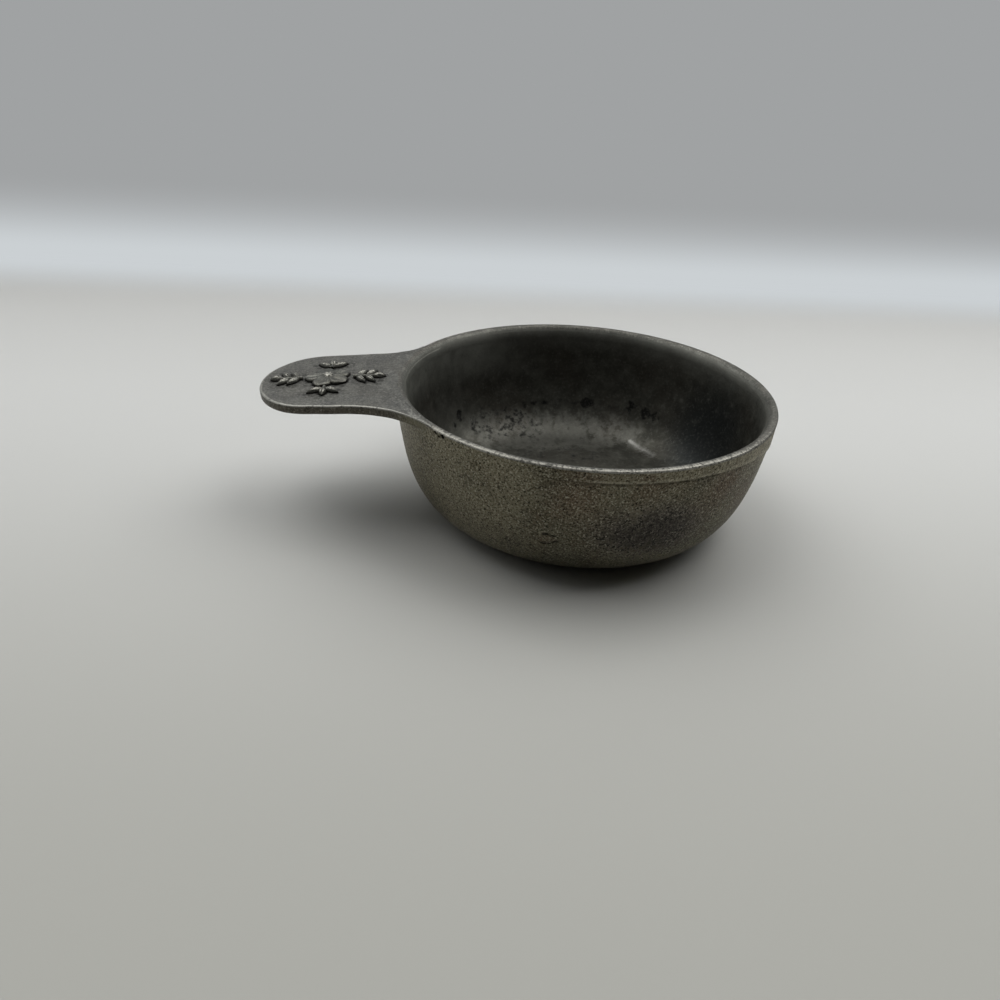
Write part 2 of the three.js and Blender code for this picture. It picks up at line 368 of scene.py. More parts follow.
# Marks on the bowl. A pair of numbers is where a mark starts to show and where it is full.
bowlMarks = dict(
    scar=dict(
        azimuth=-105.9, height=15.5, radius=50.6, wide=2.8, high=1.8, tilt=0.2, power=1.5,
        depth=0.3, groove=0.18, grooveLeast=0.4, grooveUneven=2.0, grooveGrain=1.5,
        blister=0.25, blisterWide=0.6, warm=0.3, warmEdge=(1.1, 0.6), fineReach=4.5,
    ),
    patch=dict(
        azimuth=-77.0, height=19.0, wide=15.0, high=8.5, edge=(1.5, 0.4),
        pitDepth=0.2, pitGrain=2.0, pitFrom=0.05,
    ),
    # azimuth, height and share of each warm spot
    warmSpots=(
        (-98.5, 29.0, 0.45), (-56.0, 29.5, 0.4), (-44.0, 23.0, 0.3), (-96.0, 35.5, 0.35),
        (-80.0, 35.0, 0.3),
    ),
    warmReach=6.5,
    # turns are counted from the front
    paler=dict(
        front=-75, left=(-20, -50), back=(80, 140), right=(22, 45), rightHeight=(25, 33),
        rightLow=0.2, foot=(8.5, 5.0), footShare=0.5, least=0.12,
    ),
    # oxide in the scar and the foot ring's corner, painted shade over the heel and under the band's step,
    # and the rubbed foot ring
    oxideAndShade=dict(
        scar=0.65, scarDepth=(0.02, 0.22),
        heel=0.5, heelHeight=(3.4, 0.8), heelAcross=(-1, 2),
        corner=0.5, cornerHeight=(1.0, 0.5), cornerWide=0.6, pitted=0.36,
        step=0.5, stepBelow=0.25, stepWide=0.32,
        rubbed=0.85, rubbedHeight=(0.06, 0.02), rubbedAcross=0.5,
    ),
    # pale bloom on the floor, partly from use and partly a painted reflection of the light above
    bloomAndSheen=dict(centre=Vector((-7.0, 35.0, 6.0)), reach=(39.0, 13.0, 8.0), share=1.0),
    freckles=dict(centre=Vector((-19.0, 37.0, 7.0)), reach=(24.0, 13.0, 7.0), share=0.43),
    smear=dict(centre=Vector((-1.0, 24.0, 2.6)), reach=(26.0, 9.0, 3.0), share=0.36),
    # painted shade on the right of the inside wall
    paintedShade=dict(centre=Vector((45.0, 14.0, 13.0)), reach=(15.0, 18.0, 19.0), share=1.0),
    shore=dict(share=0.36, height=11.5, wide=2.2, azimuth=90, turn=(62, 50)),
    scratch=dict(
        start=Vector((23.4, 32.9, 4.3)), end=Vector((31.7, 20.6, 3.2)), starts=(0, 0.08),
        stops=(1, 0.85), core=0.55, coreFade=1.5, coreWide=0.5, coreSpread=0.7,
        scuff=0.4, scuffWide=2.8, depth=0.08, fineReach=7.0,
    ),
    # painted light high on the inside wall, where more light falls on it
    # turns are counted from the back
    paintedLight=dict(
        back=75, left=(20, 55), leftHeight=(19, 35), far=(100, 170), farFade=0.55,
        round=(-120, -170), roundShare=0.45, rest=0.45, restHeight=(28, 37.5),
        more=0.4, moreTurn=-45, moreWide=28,
        low=0.22, lowTurn=(48, 70), lowTop=(27, 15), lowFoot=(3, 8),
        clouds=((0.4, 9.0, 8.0), (0.3, 3.5, 9.0)),
    ),
    softEdge=(1.3, 0.4),
    # azimuth, height, radius and darkness of each dark spot on the inside, and the radius of that wall
    stainRadius=46.6,
    stains=(
        (78.4, 11.8, 1.6, 1.0), (75.6, 12.4, 1.2, 1.0), (58.1, 13.3, 1.9, 1.0), (55.2, 14.2, 1.3, 1.0),
        (55.2, 16.6, 1.1, 1.0), (55.7, 18.4, 0.9, 1.0), (51.3, 12.4, 1.7, 1.0), (46.4, 12.6, 1.5, 1.0),
        (42.6, 12.0, 0.9, 0.9), (39.0, 12.4, 0.8, 0.9), (138.4, 12.9, 1.3, 1.0), (139.0, 11.0, 1.0, 1.0),
        (141.0, 7.3, 1.3, 0.9), (143.2, 10.1, 1.0, 0.9), (120.1, 10.6, 1.0, 0.9), (113.6, 10.3, 1.2, 0.9),
        (117.4, 7.4, 1.0, 0.8), (105.1, 10.0, 1.0, 0.9), (104.6, 7.5, 0.9, 0.8), (100.3, 11.2, 1.0, 1.0),
        (96.4, 11.3, 0.7, 0.9), (95.4, 4.5, 2.4, 0.75), (105.4, 5.0, 2.1, 0.75), (111.0, 3.6, 1.4, 0.75),
        (128.8, 6.5, 1.0, 0.75),
    ),
)


# The mouth's inner edge rolls over in a quarter of an ellipse, which the band and the wall share
mouthRoll = dict(radius=50.7, across=2.0, down=4.2)


# Points of the roll between two heights, from the upper one down
def rollPoints(high, low, steps):
    across, down = mouthRoll["across"], mouthRoll["down"]
    x, z = mouthRoll["radius"] + across, rimTop - down
    start, end = [math.asin(min((level - z) / down, 1)) for level in (high, low)]
    angles = [start + (end - start) * i / steps for i in range(steps + 1)]
    return [Vector((x - across * math.cos(a), 0, z + down * math.sin(a))) for a in angles]


def bowlProfile():
    b = bowlShape
    base, wall, shoulder = b["baseRadius"], b["shoulderRadius"], b["shoulder"]
    lip, lipTop, floor, recess = b["lipRadius"], b["lip"], b["floor"], b["recess"]
    ring = base - b["footRing"]
    hollow = ring - b["recessEdge"]
    pull = ring - b["recessPull"]
    covered = shoulder + b["bandCover"]
    stepped = covered + b["lipStep"]
    rolled = rollPoints(lipTop, rimTop - mouthRoll["down"], 8)
    return chained(
        straight((0, recess), (hollow, recess), b["floorRings"]),
        curve((hollow, recess), (pull, recess), (pull, 0), (ring, 0), 4),
        straight((ring, 0), (base, 0), 4),
        curve((base, 0), *b["wallPulls"], (wall, shoulder), b["wallRings"]),
        straight((wall, shoulder), (wall, covered), 3),
        straight((wall, covered), (lip, stepped), 2),
        straight((lip, stepped), (lip, lipTop), 2),
        straight((lip, lipTop), (rolled[0].x, lipTop), 2),
        rolled,
        curve((rolled[-1].x, rolled[-1].z), *b["insidePulls"], (base, floor), b["insideRings"]),
        straight((base, floor), (0, floor), b["floorRings"]),
    )


# How far the wall stands out towards the band's foot, on the side where no step shows
def wallSwell(azimuth, height):
    b = bowlShape
    start = smooth(0, b["swellFrom"] - b["swellTo"], -turnBetween(azimuth, b["swellFrom"]))
    end = smooth(0, b["swellFade"], turnBetween(azimuth, b["swellEnd"]))
    share = start if azimuth < 0 else end
    return b["swell"] * share * smooth(b["swellLow"], b["shoulder"], height)


# How far out a point lies on the casting's oval scar: 0 at its middle and 1 on its border
def scarReach(point):
    s = bowlMarks["scar"]
    across = math.radians(turnBetween(azimuthOf(point), s["azimuth"])) * s["radius"]
    up = (point.z - s["height"]) - s["tilt"] * across
    return (abs(across / s["wide"]) ** s["power"] + abs(up / s["high"]) ** s["power"]) ** (1 / s["power"])


# A ragged groove round a low blister
def scarDepth(point):
    s = bowlMarks["scar"]
    reach = scarReach(point)
    ragged = s["grooveLeast"] + s["grooveUneven"] * unevenness(point, s["grooveGrain"], 3.0)
    groove = bell(reach - 1, s["groove"]) * ragged
    return s["depth"] * (groove - s["blister"] * bell(reach, s["blisterWide"]))


# Share of the patch where the casting is full of pits
def pittedShare(point):
    p = bowlMarks["patch"]
    across = math.radians(turnBetween(azimuthOf(point), p["azimuth"])) * bowlShape["shoulderRadius"]
    return smooth(*p["edge"], math.hypot(across / p["wide"], (point.z - p["height"]) / p["high"]))


# Where the outside is paler: its left, its back, its right end and a strip over the foot, partly rubbed by
# handling and partly a painted sheen where the wall turns away
def palerShare(point):
    p = bowlMarks["paler"]
    turn = turnBetween(azimuthOf(point), p["front"])
    left = max(smooth(*p["left"], turn), smooth(*p["back"], turn))
    high = p["rightLow"] + (1 - p["rightLow"]) * smooth(*p["rightHeight"], point.z)
    foot = p["footShare"] * smooth(*p["foot"], point.z)
    return max(left, smooth(*p["right"], turn) * high, foot, p["least"])


# The marks of the outside, which the wall and the band's skirt share
def markOutside(v, layers, point):
    scar = bowlMarks["scar"]
    warm = scar["warm"] * smooth(*scar["warmEdge"], scarReach(point))
    for azimuth, height, share in bowlMarks["warmSpots"]:
        spot = onWall(azimuth, bowlShape["shoulderRadius"], height)
        warm = max(warm, share * bell((point - spot).length, bowlMarks["warmReach"]))
    v[layers["bloomAndSheen"]] = palerShare(point)
    v[layers["pitted"]] = pittedShare(point)
    v[layers["warm"]] = warm


# Height of the band's lower edge, which was cut out of level
def bandFoot(azimuth):
    b = bandShape
    return b["foot"] - b["footDip"] * bell(turnBetween(azimuth, b["dipAzimuth"]), b["dipSpread"])


# Share of the band's lower edge that shows as a step
def stepShare(azimuth):
    return smooth(*bandShape["stepStart"], azimuth) * smooth(*bandShape["stepEnd"], azimuth)


def outsideShift(point):
    b, p = bowlShape, bowlMarks["patch"]
    clear = smooth(*b["calmFoot"], point.z)
    clear *= smooth(*[b["shoulder"] + up for up in b["calmShoulder"]], point.z)
    shift = clear * layered(point, b["outsideLumps"]) + wallSwell(azimuthOf(point), point.z)
    pits = max(0.0, unevenness(point, p["pitGrain"], 7.0) - p["pitFrom"]) * pittedShare(point)
    return shift - p["pitDepth"] * pits - scarDepth(point)


def insideShift(point):
    b, scratch = bowlShape, bowlMarks["scratch"]
    lumps = smooth(*[b["lip"] + up for up in b["calmLip"]], point.z) * layered(point, b["insideLumps"])
    return lumps - scratch["depth"] * scratchShare(point)


# A scratch that starts sharp and fades into a wide scuff
def scratchShare(point):
    s = bowlMarks["scratch"]
    way = s["end"] - s["start"]
    along = (point - s["start"]).dot(way) / way.length_squared
    if not 0 <= along <= 1:
        return 0.0
    away = (point - s["start"].lerp(s["end"], along)).length
    ends = smooth(*s["starts"], along) * smooth(*s["stops"], along)
    core = s["core"] * (1 - along) ** s["coreFade"] * bell(away, s["coreWide"] + s["coreSpread"] * along)
    return ends * (core + s["scuff"] * bell(away, s["scuffWide"]))


# Share of a soft ellipsoid at a point: full near its centre, and nothing well outside it
def within(point, zone):
    away = point - zone["centre"]
    reach = math.sqrt(sum((away[i] / zone["reach"][i]) ** 2 for i in range(3)))
    return zone["share"] * smooth(*bowlMarks["softEdge"], reach)


# Painted light on the inside wall: strong on the left, and only close under the rim elsewhere
def paintedLightShare(point):
    h = bowlMarks["paintedLight"]
    turn = turnBetween(azimuthOf(point), h["back"])
    left = smooth(*h["left"], turn) * (1 - h["farFade"] * smooth(*h["far"], turn))
    left = max(left, h["roundShare"] * smooth(*h["round"], turn)) * smooth(*h["leftHeight"], point.z)
    rest = h["rest"] + h["more"] * bell(turn - h["moreTurn"], h["moreWide"])
    low = h["low"] * smooth(*h["lowTurn"], turn)
    low *= smooth(*h["lowTop"], point.z) * smooth(*h["lowFoot"], point.z)
    return (1 + layered(point, h["clouds"])) * max(left, rest * smooth(*h["restHeight"], point.z), low)


# One point of the outside, from its place before any unevenness
def shapeOutside(v, layers, start):
    b, oxideAndShade = bowlShape, bowlMarks["oxideAndShade"]
    v.co += v.normal * outsideShift(start)
    markOutside(v, layers, start)
    # oxide gathers in the scar and in the corner inside the foot ring; a painted shade darkens the wall
    # over the heel and under the band's step
    azimuth = azimuthOf(start)
    radius = math.hypot(start.x, start.y)
    ring = b["baseRadius"] - b["footRing"]
    heelFrom, heelTo = [b["baseRadius"] + across for across in oxideAndShade["heelAcross"]]
    scarred = oxideAndShade["scar"] * smooth(*oxideAndShade["scarDepth"], scarDepth(start))
    heel = oxideAndShade["heel"] * smooth(*oxideAndShade["heelHeight"], start.z) * smooth(heelFrom, heelTo, radius)
    hollow = oxideAndShade["corner"] * bell(radius - ring + b["recessEdge"], oxideAndShade["cornerWide"])
    hollow *= smooth(*oxideAndShade["cornerHeight"], start.z)
    step = stepShare(azimuth) * bell(bandFoot(azimuth) - oxideAndShade["stepBelow"] - start.z, oxideAndShade["stepWide"])
    cakedAndShaded = max(scarred, heel, hollow)
    v[layers["dirtAndShade"]] = cakedAndShaded + oxideAndShade["pitted"] * v[layers["pitted"]] + oxideAndShade["step"] * step
    # the table wears the foot ring bright
    standing = smooth(*oxideAndShade["rubbedHeight"], start.z) * smooth(ring - oxideAndShade["rubbedAcross"], ring, radius)
    v[layers["wearAndHighlight"]] = oxideAndShade["rubbed"] * standing


# One point of the inside, whose stained spots are given as points with a radius and a darkness
def shapeInside(v, layers, start, spots):
    marks = bowlMarks
    shore = marks["shore"]
    v.co += v.normal * insideShift(start)
    v[layers["wearAndHighlight"]] = scratchShare(start)
    v[layers["bloomAndSheen"]] = within(start, marks["bloomAndSheen"])
    v[layers["paintedLight"]] = paintedLightShare(start)
    # painted shade on the right of the inside wall
    v[layers["paintedShade"]] = within(start, marks["paintedShade"])
    turn = abs(turnBetween(azimuthOf(start), shore["azimuth"]))
    line = shore["share"] * bell(start.z - shore["height"], shore["wide"]) * smooth(*shore["turn"], turn)
    # each spot is a cone, which the grain cuts off raggedly at half its height
    blots = max(dark * (1 - (start - spot).length / (2 * radius)) for spot, radius, dark in spots)
    v[layers["stain"]] = max(blots, within(start, marks["freckles"]), within(start, marks["smear"]), line)


def bowlBody():
    scar, scratch = bowlMarks["scar"], bowlMarks["scratch"]
    bm = spun(bowlProfile(), bowlShape["segments"], False)
    refineNear(bm, onWall(scar["azimuth"], scar["radius"], scar["height"]), scar["fineReach"], 2)
    refineNear(bm, scratch["start"].lerp(scratch["end"], 0.5), scratch["fineReach"], 2)
    layers = floatLayers(bm, "wearAndHighlight", "dirtAndShade", "bloomAndSheen", "stain", "pitted", "warm", "paintedLight", "paintedShade")
    middle = bowlShape["middle"]
    spots = [
        (onWall(azimuth, bowlMarks["stainRadius"], height), radius, dark)
        for azimuth, height, radius, dark in bowlMarks["stains"]
    ]
    for v in bm.verts:
        start = v.co.copy()
        if v.normal.dot(start - middle) > 0:
            shapeOutside(v, layers, start)
        else:
            shapeInside(v, layers, start, spots)
    for face in bm.faces:
        face.material_index = 0 if face.normal.dot(face.calc_center_median() - middle) > 0 else 1
    return finishPiece("bowl_body", bm, [outsidePewter, insidePewter], "cast_pewter", "bowl")


# Rim: turned smooth on its top, with fine streaks across it, rubbed bright along its edges with a painted
# highlight, and with painted light on its inner roll
rimLook = dict(
    dark="#55544e", light="#6a6861", tint="#56514a", tintShare=0.4, worn="#a8a59b",
    dirtAndShade="#191814", speckShare=0.4, pitShare=0.3, wornShare=0.7, ragged=3.4,
    patinaGrain=7.0, tintGrain=10.0, grain=0.55, grainDepth=0.07,
    smoothest=0.46, roughest=0.6, rubbed=0.08, metallic=0.85,
    turningMarks=0.7, streakShare=0.3,
    zones=dict(inside="#45453f", paintedLight="#82827a"),
)

bandShape = dict(
    foot=34.2, footRadius=53.72, inner=52.5, edgeRound=0.6, footRound=0.14, capFoot=36.2,
    segments=440, skirtRings=12, landRings=5, rollRings=12,
    # the lower edge was cut out of level, and shows as a step between two azimuths
    footDip=3.0, dipAzimuth=-20.0, dipSpread=26.0, dipHeight=2.6,
    stepStart=(-108, -92), stepEnd=(130, 110),
    lumps=((0.03, 5.0, 11.0), (0.015, 1.6, 12.0)), landLumps=0.25, clearance=0.02,
    # rubbed along its edge, with a painted highlight brightest in front, less at the left and the back, and
    # none where the tab joins
    frontAzimuth=-80.0, frontSpread=44.0, least=0.15, leftWearAndHighlight=0.8, left=(-95, -130),
    backWearAndHighlight=0.7, back=(60, 150), rootFrom=152.0, rootTo=-142.0,
    rootFade=(1, -5), rootRise=(-3, 2), edgeInset=0.4, edgeWide=0.95, edgeDepth=(1.0, 0.3),
    # a painted highlight along the band's lower edge above the step
    stepHighlight=0.65, stepUp=0.55, stepWide=0.5,
    # the skirt is paler between these azimuths, partly a painted sheen, and a painted shade lines its foot
    # under the step
    paleStart=(-100, -65), paleEnd=(120, 90), footShade=0.6, footShadeHigh=0.4,
    # the skirt is what lies this near the rim's edge; finishes change at depths under the rim's top
    skirtWide=1.0, skirtFinish=0.55, insideFinish=0.9, polishDepth=(0.1, 0.9),
    # casting holes just below the rim: azimuth, height, radius and depth
    holes=((-140.5, 36.75, 0.55, 0.45), (-137.7, 36.7, 0.75, 0.6), (-139.2, 36.2, 0.4, 0.3)),
    holeFloor=0.35, holeUneven=0.35, holeGrain=0.5, holeDirt=1.5, holeMargin=0.6,
)


def bandProfile():
    b = bandShape
    edge = rimTop - b["edgeRound"]
    outer = (rimRadius - b["edgeRound"], edge)
    rolled = rollPoints(rimTop, b["capFoot"], b["rollRings"])
    foot = (b["footRadius"] - b["footRound"], b["foot"] + b["footRound"])
    return chained(
        straight((b["inner"], b["foot"]), (foot[0], b["foot"]), 2),
        corner(foot, b["footRound"], -90, 0, 3),
        straight((b["footRadius"], foot[1]), (rimRadius, edge), b["skirtRings"]),
        corner(outer, b["edgeRound"], 0, 90, 7),
        straight((outer[0], rimTop), (rolled[0].x, rimTop), b["landRings"]),
        rolled,
        straight((rolled[-1].x, b["capFoot"]), (b["inner"], b["capFoot"]), 2),
        straight((b["inner"], b["capFoot"]), (b["inner"], b["foot"] + 0.5), 2),
    )


# How much a point of the rim is rubbed along its outer edge, with a painted highlight brightest in front,
# and the painted highlight on the step at the skirt's foot
def rimWearAndHighlight(azimuth, radius, height):
    b = bandShape
    front = bell(turnBetween(azimuth, b["frontAzimuth"]), b["frontSpread"])
    left = b["least"] + b["leftWearAndHighlight"] * smooth(*b["left"], azimuth)
    most = max(front, left, b["backWearAndHighlight"] * smooth(*b["back"], azimuth))
    root = turnBetween(azimuth, b["rootFrom"])
    past = turnBetween(azimuth, b["rootTo"])
    free = max(smooth(*b["rootFade"], root), smooth(*b["rootRise"], past) * (root > 0))
    edge = bell(radius - rimRadius + b["edgeInset"], b["edgeWide"])
    edge *= smooth(*[rimTop - depth for depth in b["edgeDepth"]], height)
    step = stepShare(azimuth) * bell(height - b["foot"] - b["stepUp"], b["stepWide"])
    return max(most * free * edge, b["stepHighlight"] * step if radius > rimRadius - b["skirtWide"] else 0.0)


def rimBand():
    b = bandShape
    bm = spun(bandProfile(), b["segments"], True)
    for azimuth, height, radius, _ in b["holes"]:
        refineNear(bm, onWall(azimuth, rimRadius, height), 2 * radius + b["holeMargin"], 3)
    layers = floatLayers(bm, "wearAndHighlight", "dirtAndShade", "bloomAndSheen", "pitted", "warm", "inside", "paintedLight")
    outerFrom = rimRadius - b["skirtWide"]
    for v in bm.verts:
        start = v.co.copy()
        radius = math.hypot(start.x, start.y)
        azimuth = azimuthOf(start)
        if radius > b["inner"] + 0.1:
            dip = b["foot"] - bandFoot(azimuth)
            v.co.z -= dip * (1 - smooth(b["foot"], b["foot"] + b["dipHeight"], start.z))
        skirt = smooth(b["inner"], rimRadius - 0.2, radius) * (1 - smooth(b["foot"], rimTop - 1, start.z))
        rough = b["landLumps"] + (1 - b["landLumps"]) * skirt
        v.co += v.normal * (layered(start, b["lumps"]) * rough - b["clearance"])
        for holeAzimuth, height, size, depth in b["holes"]:
            away = (start - onWall(holeAzimuth, rimRadius, height)).length
            away *= 1 + b["holeUneven"] * unevenness(start, b["holeGrain"], 4.0)
            hole = smooth(size, b["holeFloor"] * size, away)
            v.co -= v.normal * depth * hole
            v[layers["dirtAndShade"]] = max(v[layers["dirtAndShade"]], b["holeDirt"] * hole)
        markOutside(v, layers, start)
        # paler skirt, partly a painted sheen
        pale = smooth(*b["paleStart"], azimuth) * smooth(*b["paleEnd"], azimuth)
        v[layers["bloomAndSheen"]] = max(v[layers["bloomAndSheen"]], pale)
        # painted shade along the skirt's foot, under the step
        lined = b["footShade"] * smooth(b["foot"] + b["footShadeHigh"], b["foot"], start.z)
        v[layers["dirtAndShade"]] = max(v[layers["dirtAndShade"]], lined)
        v[layers["wearAndHighlight"]] = rimWearAndHighlight(azimuth, radius, start.z)
        # the land's polish dies away down the roll
        dull = smooth(*[rimTop - depth for depth in b["polishDepth"]], start.z)
        v[layers["inside"]] = dull if radius < outerFrom else 0.0
        # painted light carries on over the roll, as on the inside wall
        v[layers["paintedLight"]] = v[layers["inside"]] * paintedLightShare(start)
    for face in bm.faces:
        place = face.calc_center_median()
        outer = math.hypot(place.x, place.y) > outerFrom
        if place.z < rimTop - (b["skirtFinish"] if outer else b["insideFinish"]):
            face.material_index = 1 if outer else 2
    return finishPiece(
        "rim_band_skin", bm, [rimPewter, outsidePewter, insidePewter], "turned_pewter", "rim_band",
    )


# Tab: handled smooth to a satin grey over its grain, with rubbed edges and black in every corner
tabLook = dict(
    dark="#555450", light="#696862", tint="#53504a", tintShare=0.45, worn="#9b9991",
    dirtAndShade="#181714", speckShare=0.5, pitShare=0.25, stainShare=0.8, wornShare=0.75,
    ragged=2.6,
    patinaGrain=5.0, tintGrain=13.0, grain=0.55, grainDepth=0.08,
    smoothest=0.44, roughest=0.58, rubbed=0.1, metallic=0.85,
    zones=dict(side="#57534a", skirt="#6e6a59"),
)

tabShape = dict(
    reach=37.6, cap=16.2, tipHalf=19.1, rootHalf=19.65, rightFlare=33.0, leftFlare=13.0,
    thickness=2.5, droop=4.2, step=0.05, edge=0.45, underEdge=0.6, inside=1.4,
    spineStart=61.5, spineEnd=74.0, stations=384, faceRings=34,
    crowding=1.15,  # rings lie closer near the edge
    blendStart=0.7, blend=3.6, clearance=0.02, lumps=((0.05, 9.0, 21.0), (0.012, 2.2, 22.0)),
    rubbedInset=0.25, rubbedWide=0.5, rubbedFrom=(-1.2, -0.2),
    sideDepth=(0.2, 0.6), skirtAway=(4.0, 0.8),
    polishAndHighlight=0.5, polishWide=1.5, polishAcross=(8, 26),
    oxideAndShadeWide=0.38, stain=0.2, stainMore=0.3, stainWide=2.4,
)


# Plan of the tab: x from the bowl's axis outwards, y towards its -Y edge, where the wider flare is
def tabOutline():
    t = tabShape
    rim = rimRadius - rootOverlap
    tip = rimRadius + t["reach"]
    quarter = corner((0, 0), 1, 90, 0, 60)

    def halfOutline(flare):
        across = t["rootHalf"] + flare
        along = math.sqrt((rim + flare) ** 2 - across ** 2)
        rimAngle = math.degrees(math.atan2(across, along))
        return chained(
            corner((0, 0), rimRadius - t["inside"], 0, rimAngle, 40),
            corner((along, across), flare, 180 + rimAngle, 270, 30),
            straight((along, t["rootHalf"]), (tip - t["cap"], t["tipHalf"]), 30),
            [Vector((tip - t["cap"] * (1 - p.x), 0, t["tipHalf"] * p.z)) for p in quarter],
        )

    right = halfOutline(t["rightFlare"])
    left = halfOutline(t["leftFlare"])
    mirrored = [Vector((p.x, 0, -p.z)) for p in reversed(left[1:-1])]
    return [Vector((p.x, p.z)) for p in right + mirrored]


# The same outline with its points evenly spaced
def evenlySpaced(points, count):
    loop = points + points[:1]
    lengths = [(b - a).length for a, b in zip(loop, loop[1:])]
    step = sum(lengths) / count
    spaced = []
    travelled = 0.0
    index = 0
    for i in range(count):
        while travelled + lengths[index] < i * step:
            travelled += lengths[index]
            index += 1
        share = (i * step - travelled) / lengths[index]
        spaced.append(loop[index].lerp(loop[index + 1], share))
    return spaced


def tabMatrix():
    t = tabShape
    hinge = Matrix.Translation((-rimRadius, 0, rimTop - t["step"]))
    drop = Matrix.Rotation(-math.radians(t["droop"]), 4, "Y")
    outwards = Matrix.Rotation(math.pi, 4, "Z")
    return hinge @ drop @ outwards @ Matrix.Translation((-rimRadius, 0, 0))


# Height of the tab's face over its own plane: it meets the rim's land in a soft hollow, never above it
def faceHeight(x, y):
    t = tabShape
    plane = rimTop - t["step"] - (x - rimRadius) * math.sin(math.radians(t["droop"]))
    start = rimRadius - t["blendStart"]
    share = smooth(start, start + t["blend"], math.hypot(x, y))
    level = rimTop - t["clearance"] - plane
    return min(level, (1 - share) * level + share * layered(Vector((x, y, 0)), t["lumps"]))


def handleTab():
    t = tabShape
    outline = evenlySpaced(tabOutline(), t["stations"])
    spine = [Vector((min(max(p.x, t["spineStart"]), t["spineEnd"]), 0)) for p in outline]
    bm = bmesh.new()
    bmesh.ops.create_circle(bm, cap_ends=False, segments=t["stations"], radius=1)
    station = bm.verts.layers.int.new("station")
    layers = floatLayers(bm, "wearAndHighlight", "dirtAndShade", "stain", "side", "skirt")
    bm.verts.ensure_lookup_table()
    for i, v in enumerate(bm.verts):
        v[station] = i

    # Moves a ring of points in from the outline, and to a height over or under the face
    def setRing(verts, inset, share, depth):
        for v in verts:
            edge, towards = outline[v[station]], spine[v[station]]
            full = (towards - edge).length
            way = inset + (full - inset) * share
            plan = edge.lerp(towards, way / full)
            v.co = (plan.x, plan.y, faceHeight(plan.x, plan.y) - depth)
            beyond = math.hypot(plan.x, plan.y) - rimRadius
            rubbed = smooth(*t["rubbedFrom"], beyond) * bell(way - t["rubbedInset"], t["rubbedWide"])
            # the rim's polish and its painted highlight run on over the root of the wider flare
            polishAndHighlight = t["polishAndHighlight"] * bell(beyond, t["polishWide"]) * smooth(*t["polishAcross"], plan.y)
            v[layers["wearAndHighlight"]] = max(rubbed, polishAndHighlight) if depth < t["edge"] else 0.0
            v[layers["side"]] = smooth(*t["sideDepth"], depth)
            v[layers["skirt"]] = v[layers["side"]] * smooth(*t["skirtAway"], beyond)

    def grow(ring, steps):
        for inset, share, depth in steps:
            made = bmesh.ops.extrude_edge_only(bm, edges=ring)["geom"]
            ring = edgesOf(made)
            setRing(vertsOf(made), inset, share, depth)

    def rounded(radius, top):
        angles = [math.radians(90 * i / 5) for i in range(6)]
        rise = [(radius * (1 - math.cos(a)), 0.0, radius * (1 - math.sin(a))) for a in angles]
        return rise if top else [(inset, share, t["thickness"] - depth) for inset, share, depth in rise]

    def flat(inset, depth):
        rings = range(1, t["faceRings"] + 1)
        return [(inset, (i / t["faceRings"]) ** t["crowding"], depth) for i in rings]

    start = list(bm.edges)
    setRing(list(bm.verts), 0.0, 0.0, t["thickness"] / 2)
    grow(start, rounded(t["edge"], True) + flat(t["edge"], 0.0))
    grow(start, rounded(t["underEdge"], False) + flat(t["underEdge"], t["thickness"]))
    bmesh.ops.remove_doubles(bm, verts=bm.verts, dist=mergeDistance)
    bmesh.ops.recalc_face_normals(bm, faces=bm.faces)

    # black oxide and painted shade in the corner round each raised form
    feet = KDTree(len(reliefFeet))
    for i, point in enumerate(reliefFeet):
        feet.insert(point, i)
    feet.balance()
    for v in bm.verts:
        if v.normal.z > 0.5:
            away = feet.find(Vector((v.co.x, v.co.y, 0)))[2]
            v[layers["dirtAndShade"]] = bell(away, t["oxideAndShadeWide"])
            v[layers["stain"]] = t["stain"] + t["stainMore"] * bell(away, t["stainWide"])
    bmesh.ops.transform(bm, matrix=tabMatrix(), verts=bm.verts)
    return finishPiece("handle_tab", bm, [tabPewter], "worn_pewter", "handle")


# Solder: brighter and smoother than the casting, drawn into the corner under the tab
solderLook = dict(
    dark="#63625d", light="#82817b", tint="#5a564c", tintShare=0.4, worn="#a5a39b",
    dirtAndShade="#1d1c19", speckShare=0.1, pitShare=0.0, wornShare=0.5, ragged=1.0,
    patinaGrain=3.0, tintGrain=6.0, grain=0.8, grainDepth=0.03,
    smoothest=0.3, roughest=0.45, rubbed=0.1, metallic=1.0,
)

# The bead thins out towards its ends, past this share of its run, and is a little uneven
solderShape = dict(
    leg=2.2, run=30.0, inside=0.35, segments=64, faceSteps=8,
    thinsFrom=0.72, thins=0.85, uneven=0.12, unevenGrain=3.0,
)


